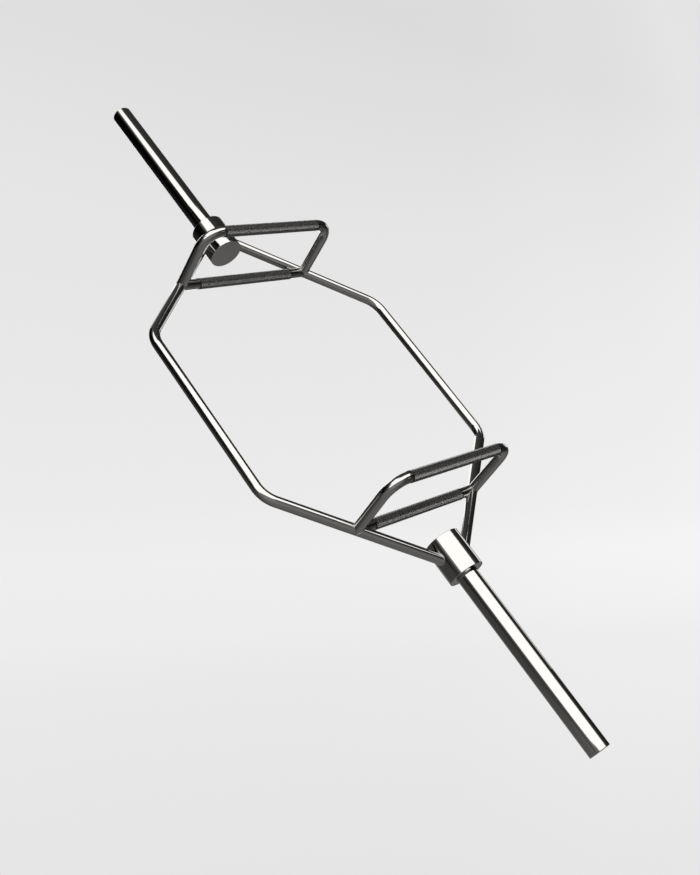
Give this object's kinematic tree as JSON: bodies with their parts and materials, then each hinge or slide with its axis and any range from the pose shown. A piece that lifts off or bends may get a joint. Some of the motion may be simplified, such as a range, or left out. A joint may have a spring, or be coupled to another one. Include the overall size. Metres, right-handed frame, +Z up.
{
  "type": "hex trap bar",
  "caption": "Hexagonal bar of bent round steel that a lifter stands inside, with low and raised knurled handles at each side and turning sleeves that take weight plates.",
  "frame": {"origin": "middle of the bar in plan, level with the lowest points of the hubs", "axes": "+X along the sleeves to the lifter's right, +Y the way the lifter faces, +Z up towards the raised handles"},
  "size_m": [2.011, 0.745, 0.221],
  "materials": {
    "frame_chrome": "dark polished chrome",
    "hub_chrome": "dark polished chrome",
    "handle_chrome": "dark polished chrome",
    "sleeve_chrome": "dark polished chrome",
    "knurled_grip": "diamond knurled, dark chrome",
    "spindle_steel": "turned steel",
    "bearing_bronze": "oiled bearing bronze",
    "spring_steel": "blackened spring steel"
  },
  "bodies": {
    "frame": {"back_frame_bar": "frame_chrome", "front_frame_bar": "frame_chrome", "right_hub": "hub_chrome", "right_low_handle": "handle_chrome", "right_raised_handle": "handle_chrome", "right_low_grip": "knurled_grip", "right_raised_grip": "knurled_grip", "right_spindle": "spindle_steel", "right_thrust_washer": "bearing_bronze", "right_stop_washer": "spindle_steel", "right_retaining_ring": "spring_steel", "left_hub": "hub_chrome", "left_low_handle": "handle_chrome", "left_raised_handle": "handle_chrome", "left_low_grip": "knurled_grip", "left_raised_grip": "knurled_grip", "left_spindle": "spindle_steel", "left_thrust_washer": "bearing_bronze", "left_stop_washer": "spindle_steel", "left_retaining_ring": "spring_steel"},
    "right_sleeve": {"right_sleeve": "sleeve_chrome", "right_inner_bushing": "bearing_bronze", "right_outer_bushing": "bearing_bronze", "right_end_cap": "sleeve_chrome"},
    "left_sleeve": {"left_sleeve": "sleeve_chrome", "left_inner_bushing": "bearing_bronze", "left_outer_bushing": "bearing_bronze", "left_end_cap": "sleeve_chrome"}
  },
  "joints": [
    {"name": "right_sleeve_spin", "type": "hinge", "parent": "frame", "child": "right_sleeve", "pos_m": [0.78, 0, 0.0425], "axis": [1, 0, 0], "continuous": true},
    {"name": "left_sleeve_spin", "type": "hinge", "parent": "frame", "child": "left_sleeve", "pos_m": [-0.78, 0, 0.0425], "axis": [1, 0, 0], "continuous": true}
  ]
}
